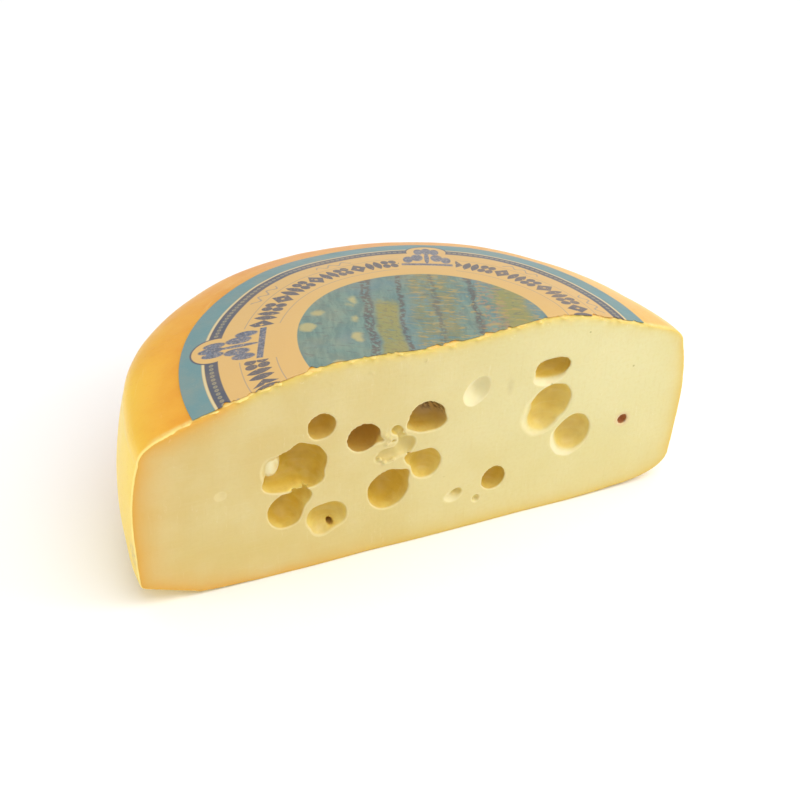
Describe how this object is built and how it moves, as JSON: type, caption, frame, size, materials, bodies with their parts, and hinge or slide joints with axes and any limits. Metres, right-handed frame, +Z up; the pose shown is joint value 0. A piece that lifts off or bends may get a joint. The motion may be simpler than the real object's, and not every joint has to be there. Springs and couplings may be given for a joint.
{
  "type": "half wheel of cheese",
  "caption": "Half a wheel of large-eyed cheese lying on its base, with an orange rind, an open cut face with gas holes, and a round printed label on its domed top.",
  "frame": {"origin": "middle of the underside of the half wheel's bounding box, on the plane that it rests on", "axes": "+Z up, parallel to the wheel's axis; +X along the cut face; the cut face looks along -Y and the rounded rind is towards +Y"},
  "size_m": [0.35, 0.18, 0.1388],
  "materials": {
    "cheese": "satin",
    "label": "satin"
  },
  "bodies": {
    "root": {"cheese": "cheese", "label": "label"}
  },
  "joints": []
}
